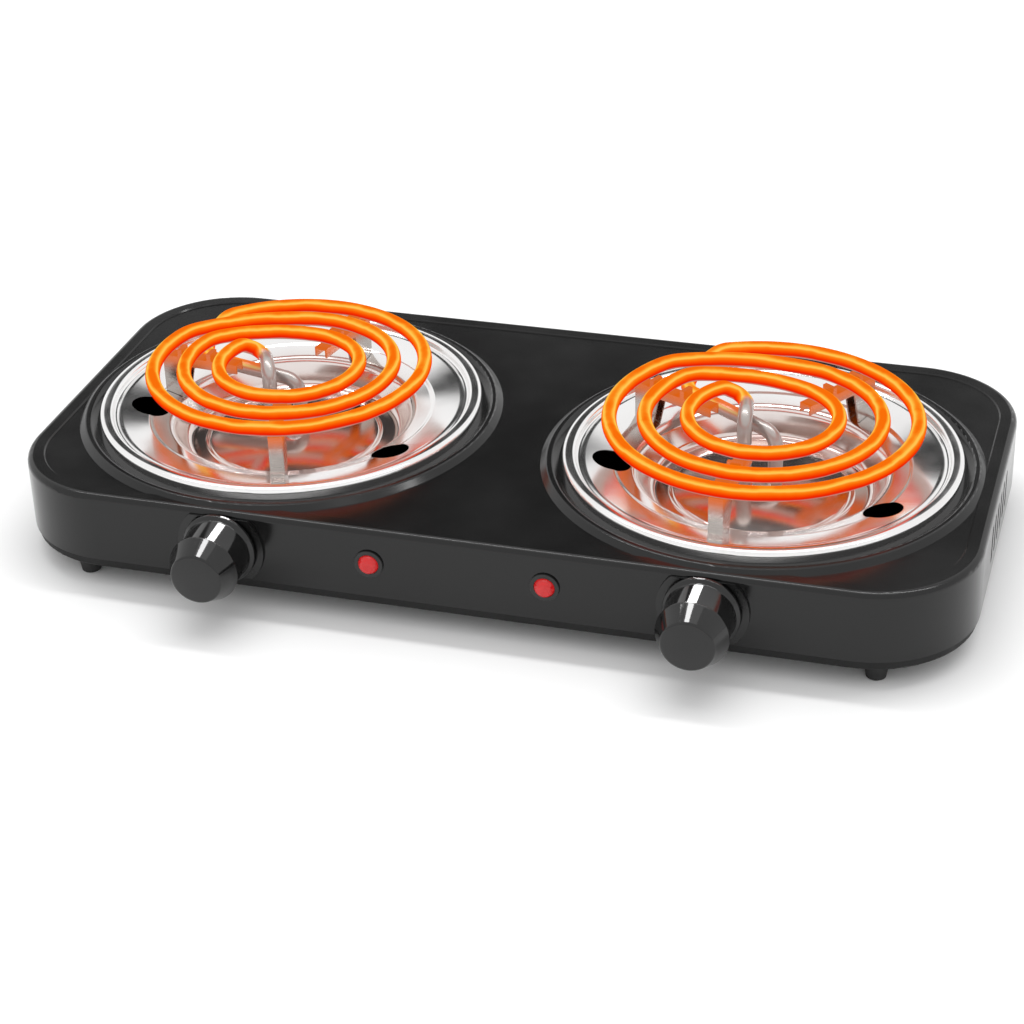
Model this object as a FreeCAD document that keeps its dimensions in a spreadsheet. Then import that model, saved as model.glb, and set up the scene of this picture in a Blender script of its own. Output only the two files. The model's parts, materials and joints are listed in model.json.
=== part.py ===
"""Twin coil hot plate: two glowing spiral elements over chrome drip pans in a low pressed steel housing.

Frame: millimetres, +X to the right along the length, +Y to the back, +Z up. The origin is on the table,
under the middle of the object's bounding box. The housing's own middle lies HOUSING_Y behind it,
because the knobs stand out in front.
"""
import FreeCAD, Part
import Sketcher
import math
import os

# ---------------------------------------------------------------- driving sizes
SIZES = [
    # housing
    ("body_length", 480.0), ("body_width", 232.0), ("body_top", 51.5), ("corner_radius", 53.0),
    ("skirt_bottom", 15.0), ("steel", 0.8), ("edge_radius", 3.0), ("border_width", 9.0),
    ("panel_drop", 0.8), ("border_slope", 0.7),
    # burner openings and the pressed bead round each
    ("burner_spacing", 247.0), ("burner_forward", 4.0), ("pan_radius", 98.5), ("rim_seat", 3.5),
    ("bead_gap", 1.8), ("bead_width", 9.0), ("bead_rise", 2.6), ("bead_crest", 2.6), ("bead_round", 1.6),
    # base tray, feet, posts
    ("foot_reach", 10.0), ("tray_height", 12.0), ("tray_gap", 0.4), ("tray_round", 1.5),
    ("foot_inset_x", 42.0), ("foot_inset_y", 14.0), ("foot_top_radius", 6.2), ("foot_tip_radius", 4.8),
    ("foot_recess", 3.4), ("post_radius", 4.5), ("screw_radius", 2.0), ("screw_gap", 0.2),
    ("screw_head_radius", 3.3), ("screw_head_height", 2.2), ("post_screw_depth", 11.0),
    ("base_slot_length", 60.0), ("base_slot_width", 4.0), ("base_slot_pitch", 12.0), ("base_slot_count", 7),
    ("vent_width", 4.0), ("vent_height", 20.0), ("vent_pitch", 11.0), ("vent_count", 6),
    # drip pan
    ("pan_steel", 0.6), ("rim_height", 6.6), ("rim_width", 7.5), ("groove_depth", 3.4),
    ("flank_margin", 3.0), ("flank_inner", 62.0), ("flank_drop", 6.8), ("well_radius", 55.0),
    ("well_drop", 20.5), ("floor_step_radius", 44.0), ("floor_step", 1.6), ("rim_round", 2.6),
    ("pan_round", 2.0), ("pan_hole_radius", 9.5), ("pan_hole_inset", 24.5),
    ("pan_hole_left", 194.0), ("pan_hole_right", 332.0),
    # heating coils
    ("tube_radius", 3.75), ("coil_height", 75.0), ("left_turn", 15.0), ("right_turn", -5.0),
    ("left_outer_ring", 69.7), ("left_middle_ring", 53.8), ("left_inner_ring", 36.0),
    ("right_outer_ring", 75.2), ("right_middle_ring", 57.9), ("right_inner_ring", 36.9),
    ("inner_step_start", 70.0), ("outer_step_start", 84.0), ("step_end", 150.0),
    ("inner_ring_start", 145.0), ("inner_tail_lead", 4.0),
    ("inner_dive_angle", 118.0), ("inner_dive_bend", 6.0),
    ("inner_tail_drop", 8.0), ("inner_tail_bend", 10.0),
    ("inner_leg_radius", 16.0), ("inner_leg_angle", 140.0),
    ("outer_ring_end", 116.0), ("outer_tail_lead", 9.0),
    ("outer_dive_angle", 134.0), ("outer_dive_drop", 8.0),
    ("outer_turn_angle", 142.0), ("outer_turn_inset", 8.0), ("outer_turn_drop", 14.0),
    ("outer_tail_drop", 19.0), ("outer_tail_bend", 14.0), ("outer_leg_radius", 19.0),
    ("outer_leg_angle", 85.0), ("leg_bend", 8.0), ("tube_end", 24.0), ("tube_gap", 0.25),
    # coil supports
    ("arm_width", 7.2), ("arm_depth", 5.0), ("arm_steel", 1.0),
    ("arm_inner_gap", 7.0), ("arm_outer_gap", 2.0),
    ("arm_leg_length", 11.0), ("arm_seat_gap", 0.25), ("arm_coil_gap", 0.05), ("tab_height", 4.0),
    ("tab_length", 2.4), ("front_arm", 270.0), ("right_arm", 62.0), ("left_arm", 160.0),
    # element ends
    ("bushing_radius", 6.5), ("bushing_gap", 0.15), ("bushing_height", 5.0), ("bead_radius", 3.1),
    ("bead_length", 3.5),
    ("pin_radius", 1.2), ("pin_length", 6.0),
    # clamp bar and screw under each pan
    ("bar_angle", 30.0), ("bar_width", 10.0), ("bar_steel", 1.5), ("bar_end", 104.0), ("bar_flange", 8.0),
    ("bar_flat", 58.5),
    ("pan_screw_radius", 2.5), ("pan_screw_head", 4.6), ("pan_screw_head_height", 2.4), ("nut_height", 4.0),
    # knobs and thermostats
    ("knob_spacing", 238.0), ("knob_height", 32.8), ("bezel_radius", 22.0), ("bezel_thickness", 1.5),
    ("bezel_trim", 16.0), ("knob_gap", 0.8), ("knob_flange_radius", 18.5), ("knob_flange", 1.8),
    ("knob_waist_radius", 16.6), ("knob_neck_radius", 15.7), ("knob_lip_radius", 17.4), ("knob_lip", 1.6),
    ("knob_body_length", 17.6), ("knob_nose_length", 9.6), ("knob_face_radius", 12.8), ("knob_dome", 1.2),
    ("knob_cavity_radius", 9.5), ("knob_cavity_depth", 6.5), ("shaft_radius", 3.0), ("shaft_fit", 0.05),
    ("shaft_flat", 2.2), ("shaft_in_knob", 14.0), ("bushing_hole_radius", 5.0), ("sleeve_radius", 4.6),
    ("sleeve_flange_radius", 7.0), ("sleeve_flange", 2.0), ("sleeve_back", 12.0), ("sleeve_front", 5.5),
    ("sleeve_nut_height", 3.2), ("sleeve_nut_width", 12.0), ("bracket_width", 40.0), ("bracket_height", 20.0),
    ("bracket_steel", 1.2), ("bracket_depth", 22.0), ("stack_width", 20.0), ("stack_depth", 14.0),
    ("stack_height", 20.0), ("stack_gap", 1.5), ("shaft_socket", 4.0), ("strip_length", 26.0),
    ("strip_width", 8.0), ("strip_steel", 0.8), ("strip_lift", 3.0),
    # indicator lamps
    ("lamp_spacing", 87.0), ("lamp_height", 33.4), ("lamp_hole_radius", 6.2), ("holder_radius", 6.0),
    ("holder_bore", 5.2), ("holder_flange_radius", 7.2), ("holder_flange", 1.2), ("holder_length", 16.0),
    ("lens_radius", 5.1), ("lens_wall", 0.8), ("lens_dome", 2.8), ("lens_length", 12.0), ("clip_radius", 9.0),
    ("clip_steel", 0.8), ("bulb_radius", 2.2), ("bulb_length", 11.0),
    # cord inlet, terminal block, earth screw
    ("inlet_height", 30.0), ("inlet_radius", 6.2), ("inlet_bore", 4.1), ("inlet_flange_radius", 8.8),
    ("inlet_flange", 3.0), ("block_length", 38.0), ("block_depth", 16.0), ("block_height", 15.0),
    ("block_back", 24.0), ("block_screw_pitch", 12.0), ("earth_screw_x", 40.0), ("earth_screw_back", 28.0),
    # internal leads
    ("lead_radius", 1.3), ("lead_pitch", 3.2), ("lamp_lead_pitch", 3.8),
    ("lead_height", 13.6), ("arc_share", 0.45),
]

doc = FreeCAD.newDocument("hot_plate")
sheet = doc.addObject("Spreadsheet::Sheet", "Sizes")
for row, (alias, number) in enumerate(SIZES, 1):
    sheet.set("A%d" % row, alias)
    sheet.set("B%d" % row, str(number))
    sheet.setAlias("B%d" % row, alias)
doc.recompute()


class Size:
    """A number that remembers the sheet expression it came from."""

    def __init__(self, text, value):
        self.text = text
        self.value = float(value)

    def join(self, sign, other, value):
        return Size("(%s %s %s)" % (self.text, sign, other.text), value)

    def __add__(self, other):
        other = as_size(other)
        return self.join("+", other, self.value + other.value)

    def __radd__(self, other):
        return as_size(other) + self

    def __sub__(self, other):
        other = as_size(other)
        return self.join("-", other, self.value - other.value)

    def __rsub__(self, other):
        return as_size(other) - self

    def __mul__(self, other):
        other = as_size(other)
        return self.join("*", other, self.value * other.value)

    def __rmul__(self, other):
        return as_size(other) * self

    def __truediv__(self, other):
        other = as_size(other)
        return self.join("/", other, self.value / other.value)

    def __neg__(self):
        return as_size(0) - self


def as_size(number):
    return number if isinstance(number, Size) else Size(repr(float(number)), number)


def cosine(angle):
    return Size("cos(%s * 1 deg)" % angle.text, math.cos(math.radians(angle.value)))


def sine(angle):
    return Size("sin(%s * 1 deg)" % angle.text, math.sin(math.radians(angle.value)))


class Named:
    """The sheet's sizes by name."""


S = Named()
for alias, number in SIZES:
    setattr(S, alias, Size("Sizes." + alias, sheet.get(alias)))

# ---------------------------------------------------------------- derived places
KNOB_REACH = (S.bezel_thickness + S.knob_gap + S.knob_flange + S.knob_body_length + S.knob_lip
              + S.knob_nose_length + S.knob_dome)
HOUSING_Y = (KNOB_REACH - S.inlet_flange) / 2
FRONT = -S.body_width / 2
BACK = S.body_width / 2
PANEL = S.body_top - S.panel_drop
CEILING = PANEL - S.steel
BASE_TOP = S.foot_reach + S.steel
BURNER_Y = -S.burner_forward
OPENING_RADIUS = S.pan_radius - S.rim_seat
BEAD_INNER = S.pan_radius + S.bead_gap
BEAD_OUTER = BEAD_INNER + S.bead_width
GROOVE_RADIUS = S.pan_radius - S.rim_width
FLANK_OUTER = GROOVE_RADIUS - S.flank_margin
RIM_TOP = PANEL + S.rim_height
FLANK_TOP = RIM_TOP - S.groove_depth + 0.6
FLANK_BOTTOM = FLANK_TOP - S.flank_drop
FLOOR = FLANK_TOP - S.well_drop
COIL_BOTTOM = S.coil_height - S.tube_radius
POST_X = S.body_length / 2 - S.foot_inset_x
POST_Y = S.body_width / 2 - S.foot_inset_y
INSIDE_BACK = BACK - S.steel
SIDES = (("left", -1), ("right", 1))
NODES = []


def coil_turn(side):
    """How far one burner's coil, with its supports, is turned anticlockwise."""
    return S.left_turn if side == "left" else S.right_turn


def ring_radii(side):
    """Radii of the outer, middle and inner rings."""
    if side == "left":
        return [S.left_outer_ring, S.left_middle_ring, S.left_inner_ring]
    return [S.right_outer_ring, S.right_middle_ring, S.right_inner_ring]


# ---------------------------------------------------------------- document helpers
def bind(item, prop, size):
    item.setExpression(prop, as_size(size).text)


def new_body(name, x=0, y=0, z=0, spin=None, node=True):
    """A body at x, y from the housing's middle and z above the table, turned about Z by spin degrees."""
    body = doc.addObject("PartDesign::Body", name)
    body.Label = name
    bind(body, "Placement.Base.x", x)
    bind(body, "Placement.Base.y", HOUSING_Y + y)
    bind(body, "Placement.Base.z", z)
    if spin is not None:
        body.Placement.Rotation = FreeCAD.Rotation(FreeCAD.Vector(0, 0, 1), spin.value)
        bind(body, "Placement.Rotation.Angle", spin)
    if node:
        NODES.append(body)
    return body


def origin_part(body, role):
    """One of the body's own origin planes or axes."""
    return [part for part in body.Origin.OriginFeatures if part.Role == role][0]


def new_sketch(body, plane, shift=(0, 0, 0)):
    """A sketch on one of the body's own planes. XY looks down +Z, XZ towards +Y, YZ along -X."""
    sketch = body.newObject("Sketcher::SketchObject", body.Name + "_sketch")
    sketch.AttachmentSupport = [(origin_part(body, plane + "_Plane"), "")]
    sketch.MapMode = "FlatFace"
    for axis, distance in zip("xyz", shift):
        if isinstance(distance, Size) or distance:
            bind(sketch, "AttachmentOffset.Base." + axis, distance)
    return sketch


def fix_point(sketch, geometry, point, x, y):
    """Hold a point of the sketch at x, y from its origin."""
    for kind, size in (("DistanceX", as_size(x)), ("DistanceY", as_size(y))):
        number = sketch.addConstraint(Sketcher.Constraint(kind, -1, 1, geometry, point, size.value))
        bind(sketch, "Constraints[%d]" % number, size)


def draw_circle(sketch, x, y, radius):
    centre = FreeCAD.Vector(as_size(x).value, as_size(y).value, 0)
    circle = sketch.addGeometry(Part.Circle(centre, FreeCAD.Vector(0, 0, 1), as_size(radius).value), False)
    fix_point(sketch, circle, 3, x, y)
    number = sketch.addConstraint(Sketcher.Constraint("Radius", circle, as_size(radius).value))
    bind(sketch, "Constraints[%d]" % number, radius)


def draw_outline(sketch, corners):
    """A closed outline through corners (x, y) or (x, y, radius); a radius rounds that corner."""
    places = [FreeCAD.Vector(as_size(c[0]).value, as_size(c[1]).value, 0) for c in corners]
    rounds = [as_size(c[2]) if len(c) > 2 else None for c in corners]
    count = len(corners)
    starts, ends, arcs = [], [], []
    for i in range(count):
        here = places[i]
        if rounds[i] is None:
            starts.append(here)
            ends.append(here)
            arcs.append(None)
            continue
        before = (places[i - 1] - here).normalize()
        after = (places[(i + 1) % count] - here).normalize()
        half = before.getAngle(after) / 2
        reach = rounds[i].value / math.tan(half)
        centre = here + (before + after).normalize() * (rounds[i].value / math.sin(half))
        ends.append(here + before * reach)
        starts.append(here + after * reach)
        left_turn = before.cross(after).z < 0
        first, last = (ends[i], starts[i]) if left_turn else (starts[i], ends[i])
        angles = [math.atan2(p.y - centre.y, p.x - centre.x) for p in (first, last)]
        if angles[1] < angles[0]:
            angles[1] += 2 * math.pi
        circle = Part.Circle(centre, FreeCAD.Vector(0, 0, 1), rounds[i].value)
        arcs.append((Part.ArcOfCircle(circle, angles[0], angles[1]), left_turn))
    lines = [sketch.addGeometry(Part.LineSegment(starts[i], ends[(i + 1) % count]), False)
             for i in range(count)]
    for i in range(count):
        into, out = lines[i - 1], lines[i]
        if arcs[i] is None:
            sketch.addConstraint(Sketcher.Constraint("Coincident", into, 2, out, 1))
            fix_point(sketch, out, 1, corners[i][0], corners[i][1])
            continue
        arc = sketch.addGeometry(arcs[i][0], False)
        first, last = (1, 2) if arcs[i][1] else (2, 1)
        sketch.addConstraint(Sketcher.Constraint("Tangent", into, 2, arc, first))
        sketch.addConstraint(Sketcher.Constraint("Tangent", arc, last, out, 1))
        number = sketch.addConstraint(Sketcher.Constraint("Radius", arc, rounds[i].value))
        bind(sketch, "Constraints[%d]" % number, rounds[i])
        corner = sketch.addGeometry(Part.Point(places[i]), True)
        fix_point(sketch, corner, 1, corners[i][0], corners[i][1])
        sketch.addConstraint(Sketcher.Constraint("PointOnObject", corner, 1, into))
        sketch.addConstraint(Sketcher.Constraint("PointOnObject", corner, 1, out))


def draw_box(sketch, x, y, width, height, radius=None):
    """A rectangle centred at x, y, with rounded corners if a radius is given."""
    low_x, high_x, low_y, high_y = x - width / 2, x + width / 2, y - height / 2, y + height / 2
    tail = () if radius is None else (radius,)
    draw_outline(sketch, [(low_x, low_y) + tail, (high_x, low_y) + tail,
                          (high_x, high_y) + tail, (low_x, high_y) + tail])


def pad(body, sketch, length, midplane=False, back=False):
    feature = body.newObject("PartDesign::Pad", body.Name + "_pad")
    feature.Profile = sketch
    feature.Midplane = midplane
    feature.Reversed = back
    bind(feature, "Length", length)
    doc.recompute()
    return feature


def pocket(body, sketch, length, forward=False, midplane=False):
    """Cut against the sketch's normal, or along it when forward is set, and check that it cut."""
    before = body.Shape.Volume
    feature = body.newObject("PartDesign::Pocket", body.Name + "_pocket")
    feature.Profile = sketch
    feature.Reversed = forward
    feature.Midplane = midplane
    bind(feature, "Length", length)
    doc.recompute()
    if body.Shape.Volume > before - 0.01:
        raise RuntimeError("a pocket in %s removed nothing" % body.Label)
    return feature


def repeat(body, count, pitch):
    """Repeat the body's last feature along Y, towards the front when the pitch is negative."""
    before = body.Shape.Volume
    last = body.Tip
    feature = body.newObject("PartDesign::LinearPattern", body.Name + "_row")
    feature.Originals = [last]
    feature.Direction = (origin_part(body, "Y_Axis"), [""])
    feature.Reversed = pitch.value < 0
    bind(feature, "Length", (-pitch if pitch.value < 0 else pitch) * (count - 1))
    bind(feature, "Occurrences", count)
    body.Tip = feature
    doc.recompute()
    if abs(body.Shape.Volume - before) < 0.01:
        raise RuntimeError("a row in %s changed nothing" % body.Label)


def revolve(body, sketch, cut=False):
    """Turn the sketch about its own vertical axis, to add or to cut."""
    before = body.Shape.Volume if cut else 0
    kind = "Groove" if cut else "Revolution"
    feature = body.newObject("PartDesign::" + kind, body.Name + "_turned")
    feature.Profile = sketch
    feature.ReferenceAxis = (sketch, ["V_Axis"])
    feature.Angle = 360
    doc.recompute()
    if cut and body.Shape.Volume > before - 0.01:
        raise RuntimeError("a groove in %s removed nothing" % body.Label)
    return feature


def edges_where(feature, test):
    """Names of the feature's edges whose every vertex and middle pass the test."""
    names = []
    for number, edge in enumerate(feature.Shape.Edges, 1):
        points = [edge.valueAt(edge.FirstParameter), edge.valueAt(edge.LastParameter),
                  edge.valueAt((edge.FirstParameter + edge.LastParameter) / 2)]
        if all(test(p) for p in points):
            names.append("Edge%d" % number)
    return names


def soften(body, kind, prop, size, test):
    """Fillet or chamfer the edges of the body's tip that pass the test."""
    base = body.Tip
    feature = body.newObject("PartDesign::" + kind, body.Name + "_" + kind.lower())
    feature.Base = (base, edges_where(base, test))
    bind(feature, prop, size)
    doc.recompute()
    return feature


def turned(name, corners, x=0, y=0, z=0, plane="XZ", node=True):
    """A body turned from a half outline about Z (plane XZ) or about Y (plane XY)."""
    body = new_body(name, x, y, z, node=node)
    sketch = new_sketch(body, plane)
    draw_outline(sketch, corners)
    revolve(body, sketch)
    return body


def group(name, masters):
    """One node that holds several separate solids, each (shape, placement)."""
    item = doc.addObject("Part::Feature", name)
    item.Label = name
    item.Shape = Part.makeCompound([shape.transformed(place.toMatrix()) for shape, place in masters])
    NODES.append(item)
    return item


def spot(x=0, y=0, z=0, turn=0.0):
    """A placement at x, y from the housing's middle."""
    place = FreeCAD.Vector(as_size(x).value, HOUSING_Y.value + as_size(y).value, as_size(z).value)
    return FreeCAD.Placement(place, FreeCAD.Rotation(FreeCAD.Vector(0, 0, 1), turn))


def shape_node(name, shape, place):
    """A node whose shape is made with Part's own functions and then placed."""
    item = doc.addObject("Part::Feature", name)
    item.Label = name
    item.Shape = shape
    item.Placement = place
    NODES.append(item)
    return item


def local_shape(body):
    """A body's shape before its placement."""
    shape = body.Shape.copy()
    shape.Placement = body.Placement.inverse().multiply(shape.Placement)
    return shape


def burner_point(side, sign, angle, radius):
    """x and y, from the housing's middle, of a point at an angle that turns with the coil."""
    turn = coil_turn(side)
    x = sign * S.burner_spacing / 2 + radius * cosine(angle + turn)
    y = BURNER_Y + radius * sine(angle + turn)
    return x, y


# ---------------------------------------------------------------- housing and base
def make_housing():
    body = new_body("top_housing")
    outline = new_sketch(body, "XY", (0, 0, S.skirt_bottom))
    draw_box(outline, as_size(0), as_size(0), S.body_length, S.body_width, S.corner_radius)
    pad(body, outline, S.body_top - S.skirt_bottom)
    top = S.body_top.value
    soften(body, "Fillet", "Radius", S.edge_radius, lambda p: abs(p.z - top) < 0.01)

    panel = new_sketch(body, "XY", (0, 0, S.body_top))
    draw_box(panel, as_size(0), as_size(0), S.body_length - 2 * S.border_width,
             S.body_width - 2 * S.border_width, S.corner_radius - S.border_width)
    pocket(body, panel, S.panel_drop)
    inner_x = S.body_length.value / 2 - S.border_width.value + 0.01
    inner_y = S.body_width.value / 2 - S.border_width.value + 0.01
    soften(body, "Chamfer", "Size", S.border_slope,
           lambda p: abs(p.z - top) < 0.01 and abs(p.x) < inner_x and abs(p.y) < inner_y)

    cavity = new_sketch(body, "XY", (0, 0, S.skirt_bottom))
    draw_box(cavity, as_size(0), as_size(0), S.body_length - 2 * S.steel, S.body_width - 2 * S.steel,
             S.corner_radius - S.steel)
    pocket(body, cavity, CEILING - S.skirt_bottom, forward=True)

    for _, sign in SIDES:
        centre = (sign * S.burner_spacing / 2, 0, -BURNER_Y)
        for lift, cut in ((as_size(0), False), (-S.steel, True)):
            bead = new_sketch(body, "XZ", centre)
            crest = PANEL + S.bead_rise + lift
            foot = PANEL + lift - (S.steel / 2 if not cut else S.steel)
            thin = as_size(0) if not cut else S.steel / 2
            middle = BEAD_INNER + S.bead_width / 2
            draw_outline(bead, [(BEAD_INNER + thin, foot), (BEAD_OUTER - thin, foot),
                                (BEAD_OUTER - thin, PANEL + lift),
                                (middle + S.bead_crest / 2, crest, S.bead_round),
                                (middle - S.bead_crest / 2, crest, S.bead_round),
                                (BEAD_INNER + thin, PANEL + lift)])
            revolve(body, bead, cut)
        opening = new_sketch(body, "XY", (0, 0, S.body_top))
        draw_circle(opening, sign * S.burner_spacing / 2, BURNER_Y, OPENING_RADIUS)
        pocket(body, opening, S.body_top - S.skirt_bottom)

    front = new_sketch(body, "XZ", (0, 0, -FRONT))
    for _, sign in SIDES:
        draw_circle(front, sign * S.knob_spacing / 2, S.knob_height, S.bushing_hole_radius)
        draw_circle(front, sign * S.lamp_spacing / 2, S.lamp_height, S.lamp_hole_radius)
    pocket(body, front, 2 * S.steel)

    rear = new_sketch(body, "XZ", (0, 0, -BACK))
    draw_circle(rear, 0, S.inlet_height, S.inlet_radius)
    pocket(body, rear, 2 * S.steel, forward=True)

    first = S.vent_pitch * (S.vent_count - 1) / 2
    ends = new_sketch(body, "YZ")
    draw_box(ends, first, (S.skirt_bottom + S.body_top) / 2, S.vent_width, S.vent_height,
             S.vent_width / 2 - 0.01)
    pocket(body, ends, S.body_length + 10, midplane=True)
    repeat(body, S.vent_count, -S.vent_pitch)


def make_base_plate():
    body = new_body("base_plate")
    inset = S.steel + S.tray_gap
    outline = new_sketch(body, "XY", (0, 0, S.foot_reach))
    draw_box(outline, as_size(0), as_size(0), S.body_length - 2 * inset, S.body_width - 2 * inset,
             S.corner_radius - inset)
    pad(body, outline, S.tray_height)
    low = S.foot_reach.value
    soften(body, "Fillet", "Radius", S.tray_round, lambda p: abs(p.z - low) < 0.01)
    hollow = new_sketch(body, "XY", (0, 0, S.foot_reach + S.tray_height))
    wall = inset + S.steel
    draw_box(hollow, as_size(0), as_size(0), S.body_length - 2 * wall, S.body_width - 2 * wall,
             S.corner_radius - wall)
    pocket(body, hollow, S.tray_height - S.steel)

    holes = new_sketch(body, "XY", (0, 0, BASE_TOP))
    for x in (-POST_X, POST_X):
        for y in (-POST_Y, POST_Y):
            draw_circle(holes, x, y, S.screw_radius + S.screw_gap)
    draw_circle(holes, S.earth_screw_x, BACK - S.earth_screw_back, S.screw_radius + S.screw_gap)
    pocket(body, holes, 2 * S.steel)

    first = BURNER_Y + S.base_slot_pitch * (S.base_slot_count - 1) / 2
    for _, sign in SIDES:
        slot = new_sketch(body, "XY", (0, 0, BASE_TOP))
        draw_box(slot, sign * S.burner_spacing / 2, first, S.base_slot_length, S.base_slot_width,
                 S.base_slot_width / 2 - 0.01)
        pocket(body, slot, 2 * S.steel)
        repeat(body, S.base_slot_count, -S.base_slot_pitch)


def make_feet_and_posts():
    spots = [("front_left", -POST_X, -POST_Y), ("front_right", POST_X, -POST_Y),
             ("rear_left", -POST_X, POST_Y), ("rear_right", POST_X, POST_Y)]
    hole = S.screw_radius + S.screw_gap
    recess = S.screw_head_radius + S.screw_gap
    for name, x, y in spots:
        turned("foot_" + name, [(recess, 0), (S.foot_tip_radius, 0, as_size(0.4)),
                                (S.foot_top_radius, S.foot_reach), (hole, S.foot_reach),
                                (hole, S.foot_recess), (recess, S.foot_recess)], x, y)
    depth = S.post_screw_depth
    post = turned("post_pattern", [(0, depth), (S.screw_radius + 0.05, depth), (S.screw_radius + 0.05, 0),
                                   (S.post_radius, 0), (S.post_radius, CEILING - BASE_TOP),
                                   (0, CEILING - BASE_TOP)], node=False)
    group("corner_posts", [(local_shape(post), spot(x, y, BASE_TOP)) for _, x, y in spots])
    head = S.foot_recess - S.screw_head_height
    tip = BASE_TOP + S.post_screw_depth - 1
    screw = turned("screw_pattern", [(0, head), (S.screw_head_radius, head),
                                     (S.screw_head_radius, S.foot_recess),
                                     (S.screw_radius, S.foot_recess), (S.screw_radius, tip), (0, tip)],
                   node=False)
    drive = new_sketch(screw, "XY", (0, 0, head))
    draw_box(drive, as_size(0), as_size(0), S.screw_head_radius * 1.3, S.screw_head_height * 0.35)
    pocket(screw, drive, S.screw_head_height / 2, forward=True)
    group("base_screws", [(local_shape(screw), spot(x, y, 0)) for _, x, y in spots])


# ---------------------------------------------------------------- burners
def make_pan(side, sign):
    """A pressed drip pan: rolled rim, groove, shallow flank, deep well and stepped floor."""
    body = new_body(side + "_drip_pan", sign * S.burner_spacing / 2, BURNER_Y)
    gauge = S.pan_steel
    edge = S.pan_radius
    groove = GROOVE_RADIUS
    bore = S.pan_screw_radius + S.screw_gap
    step = S.floor_step_radius
    groove_low = RIM_TOP - S.groove_depth
    upper = [(bore, FLOOR + S.floor_step), (step, FLOOR + S.floor_step, as_size(0.8)),
             (step + S.floor_step, FLOOR, as_size(0.8)), (S.well_radius, FLOOR, S.pan_round),
             (S.flank_inner, FLANK_BOTTOM, S.pan_round), (FLANK_OUTER, FLANK_TOP, as_size(0.8)),
             (groove, groove_low, as_size(0.8)),
             (groove + 1.2, RIM_TOP, S.rim_round / 2 + 0.4), (edge, RIM_TOP, S.rim_round), (edge, PANEL)]
    lower = [(edge - gauge, PANEL), (edge - gauge, RIM_TOP - gauge, S.rim_round - gauge),
             (groove + 1.2 + gauge, RIM_TOP - gauge, S.rim_round / 2), (groove + gauge, groove_low - gauge),
             (FLANK_OUTER, FLANK_TOP - gauge), (S.flank_inner + gauge, FLANK_BOTTOM - gauge, S.pan_round),
             (S.well_radius + gauge, FLOOR - gauge, S.pan_round),
             (step + S.floor_step - gauge / 2, FLOOR - gauge), (step - gauge / 2, FLOOR + S.floor_step - gauge),
             (bore, FLOOR + S.floor_step - gauge)]
    profile = new_sketch(body, "XZ")
    draw_outline(profile, upper + lower)
    revolve(body, profile)

    flank = new_sketch(body, "XY", (0, 0, RIM_TOP))
    distance = S.pan_radius - S.pan_hole_inset
    for angle in (S.pan_hole_left, S.pan_hole_right):
        draw_circle(flank, distance * cosine(angle), distance * sine(angle), S.pan_hole_radius)
    pocket(body, flank, RIM_TOP - FLOOR)

    floor = new_sketch(body, "XY", (0, 0, FLOOR + S.floor_step + 1))
    for x, y in element_ends(side, sign):
        draw_circle(floor, x - sign * S.burner_spacing / 2, y - BURNER_Y, S.tube_radius + S.tube_gap)
    pocket(body, floor, S.floor_step + S.pan_steel + 2)


def element_ends(side, sign):
    """x and y of the two vertical tube ends, outer then inner, from the housing's middle."""
    return [burner_point(side, sign, S.outer_leg_angle, S.outer_leg_radius),
            burner_point(side, sign, S.inner_leg_angle, S.inner_leg_radius)]


def polar(radius, angle, z=0.0):
    turn = math.radians(angle)
    return FreeCAD.Vector(radius * math.cos(turn), radius * math.sin(turn), z)


def arc_edge(centre, radius, first, last):
    """A level arc from one angle to another, in degrees, anticlockwise."""
    return Part.Arc(*[centre + polar(radius, angle) for angle in (first, (first + last) / 2, last)]).toShape()


def step_out(height, inner, outer, first, last):
    """Two tangent arcs that leave a ring at the first angle and join a wider ring at the last."""
    shift = (outer - inner) / 2 / (1 - math.cos(math.radians(last - first) / 2))
    middle = (first + last) / 2
    return [arc_edge(polar(-shift, first, height), inner + shift, first, middle),
            arc_edge(polar(shift, last, height), outer - shift, middle, last)]


def rounded_route(points, radii):
    """Edges of straight runs joined by tangent arcs of the given radii at the inner points."""
    edges = []
    start = points[0]
    for i in range(1, len(points) - 1):
        before = (points[i - 1] - points[i]).normalize()
        after = (points[i + 1] - points[i]).normalize()
        half = before.getAngle(after) / 2
        reach = radii[i - 1] / math.tan(half)
        middle = (before + after).normalize() * (radii[i - 1] / math.sin(half) - radii[i - 1])
        first, last = points[i] + before * reach, points[i] + after * reach
        edges.append(Part.LineSegment(start, first).toShape())
        edges.append(Part.Arc(first, points[i] + middle, last).toShape())
        start = last
    edges.append(Part.LineSegment(start, points[-1]).toShape())
    return edges


def tube(edges, radius, name):
    """A round bar along edges that run on smoothly; its volume is section times length."""
    path = Part.Wire(edges)
    first = path.OrderedEdges[0]
    direction = first.tangentAt(first.FirstParameter)
    if (first.valueAt(first.FirstParameter) - edges[0].valueAt(edges[0].FirstParameter)).Length > 0.001:
        raise RuntimeError("the route of %s is not in order" % name)
    section = Part.Wire([Part.Circle(first.valueAt(first.FirstParameter), direction, radius).toShape()])
    solid = path.makePipeShell([section], True, True)
    expected = math.pi * radius ** 2 * path.Length
    if abs(solid.Volume - expected) > 0.01 * expected:
        raise RuntimeError("%s has %.1f mm3, not %.1f" % (name, solid.Volume, expected))
    return solid


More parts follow.
